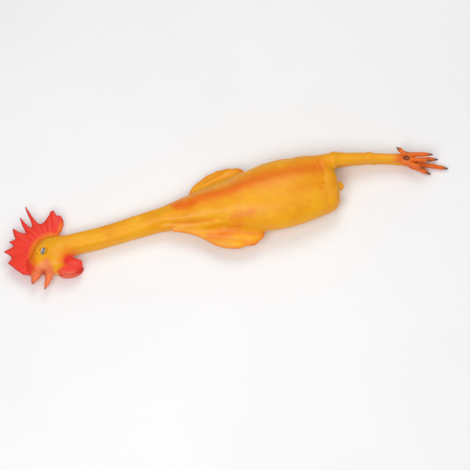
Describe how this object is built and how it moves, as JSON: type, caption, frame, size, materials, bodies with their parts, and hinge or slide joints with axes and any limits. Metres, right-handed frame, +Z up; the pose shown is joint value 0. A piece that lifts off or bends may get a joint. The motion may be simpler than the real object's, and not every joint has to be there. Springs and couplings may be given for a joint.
{
  "type": "rubber chicken",
  "caption": "Limp hollow latex toy fowl lying on its side, with long neck, spiked comb, wattles, gaping beak, flap wings, thin legs and clawed feet.",
  "frame": {"origin": "centre of the flat patch under the torso on which the toy rests", "axes": "+X from the torso toward the feet, the head toward -X, +Y toward the edge where the legs leave the torso, +Z up from the floor"},
  "size_m": [0.6518, 0.1295, 0.0657],
  "materials": {
    "body_yellow_latex": "satin, golden amber yellow with an orange airbrushed stripe",
    "comb_red_latex": "satin, strong red airbrush",
    "beak_salmon_latex": "satin, salmon pink fading to a dark tip",
    "foot_orange_latex": "satin, orange red airbrush",
    "eye_paint": "painted white with a dark slit pupil",
    "claw_dark_latex": "satin, dark grey airbrush"
  },
  "bodies": {
    "torso": {"torso": "body_yellow_latex", "tail_nub": "body_yellow_latex"},
    "neck_lower": {"neck_lower": "body_yellow_latex"},
    "neck_middle": {"neck_middle": "body_yellow_latex"},
    "neck_upper": {"neck_upper": "body_yellow_latex"},
    "head": {"head_shell": "body_yellow_latex", "upper_beak": "beak_salmon_latex", "eye_left": "eye_paint", "eye_right": "eye_paint"},
    "jaw": {"lower_beak": "beak_salmon_latex"},
    "comb": {"comb": "comb_red_latex"},
    "wattle_left": {"wattle_left": "comb_red_latex"},
    "wattle_right": {"wattle_right": "comb_red_latex"},
    "wing_left": {"wing_left": "body_yellow_latex"},
    "wing_right": {"wing_right": "body_yellow_latex"},
    "drumstick_left": {"drumstick_left": "body_yellow_latex"},
    "shank_left": {"shank_left": "body_yellow_latex"},
    "palm_left": {"palm_left": "foot_orange_latex"},
    "toe_left_inner": {"toe_left_inner": "foot_orange_latex", "claw_left_inner": "claw_dark_latex"},
    "toe_left_middle": {"toe_left_middle": "foot_orange_latex", "claw_left_middle": "claw_dark_latex"},
    "toe_left_outer": {"toe_left_outer": "foot_orange_latex", "claw_left_outer": "claw_dark_latex"},
    "toe_left_hind": {"toe_left_hind": "foot_orange_latex", "claw_left_hind": "claw_dark_latex"},
    "drumstick_right": {"drumstick_right": "body_yellow_latex"},
    "shank_right": {"shank_right": "body_yellow_latex"},
    "palm_right": {"palm_right": "foot_orange_latex"},
    "toe_right_inner": {"toe_right_inner": "foot_orange_latex", "claw_right_inner": "claw_dark_latex"},
    "toe_right_middle": {"toe_right_middle": "foot_orange_latex", "claw_right_middle": "claw_dark_latex"},
    "toe_right_outer": {"toe_right_outer": "foot_orange_latex", "claw_right_outer": "claw_dark_latex"},
    "toe_right_hind": {"toe_right_hind": "foot_orange_latex", "claw_right_hind": "claw_dark_latex"}
  },
  "joints": [
    {"name": "neck_base_swing", "type": "hinge", "parent": "torso", "child": "neck_lower", "pos_m": [-0.154, 0.004, 0.018], "axis": [0, 0, 1], "range_deg": [-45, 45], "stiffness_Nm_per_rad": 0.35},
    {"name": "neck_lift", "type": "hinge", "parent": "neck_lower", "child": "neck_middle", "pos_m": [-0.2, 0, 0.017], "axis": [0.0995, -0.995, 0], "range_deg": [-40, 40], "stiffness_Nm_per_rad": 0.5},
    {"name": "neck_twist", "type": "hinge", "parent": "neck_middle", "child": "neck_upper", "pos_m": [-0.25, -0.005, 0.017], "axis": [-0.9983, -0.0407, 0.0407], "range_deg": [-60, 60], "stiffness_Nm_per_rad": 0.25},
    {"name": "head_nod", "type": "hinge", "parent": "neck_upper", "child": "head", "pos_m": [-0.299, -0.007, 0.019], "axis": [0, 0, 1], "range_deg": [-35, 15], "stiffness_Nm_per_rad": 0.3},
    {"name": "jaw_open", "type": "hinge", "parent": "head", "child": "jaw", "pos_m": [-0.3285, -0.041, 0.0194], "axis": [0, 0, 1], "range_deg": [-10, 14], "stiffness_Nm_per_rad": 0.03},
    {"name": "comb_flop", "type": "hinge", "parent": "head", "child": "comb", "pos_m": [-0.3395, 0.0025, 0.0194], "axis": [0.7141, 0.7001, 0], "range_deg": [-18, 18], "stiffness_Nm_per_rad": 0.08},
    {"name": "wattle_left_swing", "type": "hinge", "parent": "head", "child": "wattle_left", "pos_m": [-0.304, -0.043, 0.0254], "axis": [-0.8571, -0.5151, 0], "range_deg": [0, 28], "stiffness_Nm_per_rad": 0.02},
    {"name": "wattle_right_swing", "type": "hinge", "parent": "head", "child": "wattle_right", "pos_m": [-0.304, -0.043, 0.0134], "axis": [0.8571, 0.5151, 0], "range_deg": [0, 28], "stiffness_Nm_per_rad": 0.02},
    {"name": "wing_left_flap", "type": "hinge", "parent": "torso", "child": "wing_left", "pos_m": [-0.07, -0.034, 0.025], "axis": [-0.9651, 0.262, 0], "range_deg": [-30, 30], "stiffness_Nm_per_rad": 0.08},
    {"name": "wing_right_flap", "type": "hinge", "parent": "torso", "child": "wing_right", "pos_m": [-0.065, 0.0385, 0.021], "axis": [0.975, 0.222, 0], "range_deg": [-30, 30], "stiffness_Nm_per_rad": 0.08},
    {"name": "hip_left_swing", "type": "hinge", "parent": "torso", "child": "drumstick_left", "pos_m": [0.1155, 0.037, 0.032], "axis": [0, 0, 1], "range_deg": [-35, 35], "stiffness_Nm_per_rad": 0.1},
    {"name": "hock_left_bend", "type": "hinge", "parent": "drumstick_left", "child": "shank_left", "pos_m": [0.156, 0.033, 0.025], "axis": [0, 0, 1], "range_deg": [-40, 40], "stiffness_Nm_per_rad": 0.06},
    {"name": "ankle_left_bend", "type": "hinge", "parent": "shank_left", "child": "palm_left", "pos_m": [0.197, 0.024, 0.024], "axis": [0, 0, 1], "range_deg": [-30, 30], "stiffness_Nm_per_rad": 0.05},
    {"name": "toe_left_inner_curl", "type": "hinge", "parent": "palm_left", "child": "toe_left_inner", "pos_m": [0.21883, 0.02491, 0.024], "axis": [-0.2381, -0.9712, 0], "range_deg": [-8, 30], "stiffness_Nm_per_rad": 0.02},
    {"name": "toe_left_middle_curl", "type": "hinge", "parent": "palm_left", "child": "toe_left_middle", "pos_m": [0.21925, 0.01675, 0.024], "axis": [-0.31, -0.9507, 0], "range_deg": [-8, 30], "stiffness_Nm_per_rad": 0.02},
    {"name": "toe_left_outer_curl", "type": "hinge", "parent": "palm_left", "child": "toe_left_outer", "pos_m": [0.2141, 0.0104, 0.024], "axis": [-0.5241, -0.8517, 0], "range_deg": [-8, 30], "stiffness_Nm_per_rad": 0.02},
    {"name": "toe_left_hind_curl", "type": "hinge", "parent": "palm_left", "child": "toe_left_hind", "pos_m": [0.20566, 0.03134, 0.024], "axis": [0.7833, 0.6216, 0], "range_deg": [-8, 30], "stiffness_Nm_per_rad": 0.02},
    {"name": "hip_right_swing", "type": "hinge", "parent": "torso", "child": "drumstick_right", "pos_m": [0.1235, 0.041, 0.011], "axis": [0, 0, 1], "range_deg": [-35, 35], "stiffness_Nm_per_rad": 0.1},
    {"name": "hock_right_bend", "type": "hinge", "parent": "drumstick_right", "child": "shank_right", "pos_m": [0.165, 0.035, 0.0085], "axis": [0, 0, 1], "range_deg": [-40, 40], "stiffness_Nm_per_rad": 0.06},
    {"name": "ankle_right_bend", "type": "hinge", "parent": "shank_right", "child": "palm_right", "pos_m": [0.21, 0.022, 0.007], "axis": [0, 0, 1], "range_deg": [-30, 30], "stiffness_Nm_per_rad": 0.05},
    {"name": "toe_right_inner_curl", "type": "hinge", "parent": "palm_right", "child": "toe_right_inner", "pos_m": [0.23183, 0.02128, 0.005], "axis": [-0.2222, -0.975, 0], "range_deg": [-30, 8], "stiffness_Nm_per_rad": 0.02},
    {"name": "toe_right_middle_curl", "type": "hinge", "parent": "palm_right", "child": "toe_right_middle", "pos_m": [0.23165, 0.01311, 0.005], "axis": [-0.3799, -0.925, 0], "range_deg": [-30, 8], "stiffness_Nm_per_rad": 0.02},
    {"name": "toe_right_outer_curl", "type": "hinge", "parent": "palm_right", "child": "toe_right_outer", "pos_m": [0.22604, 0.00717, 0.005], "axis": [-0.6246, -0.7809, 0], "range_deg": [-30, 8], "stiffness_Nm_per_rad": 0.02},
    {"name": "toe_right_hind_curl", "type": "hinge", "parent": "palm_right", "child": "toe_right_hind", "pos_m": [0.21919, 0.02868, 0.005], "axis": [0.792, 0.6105, 0], "range_deg": [-30, 8], "stiffness_Nm_per_rad": 0.02}
  ]
}
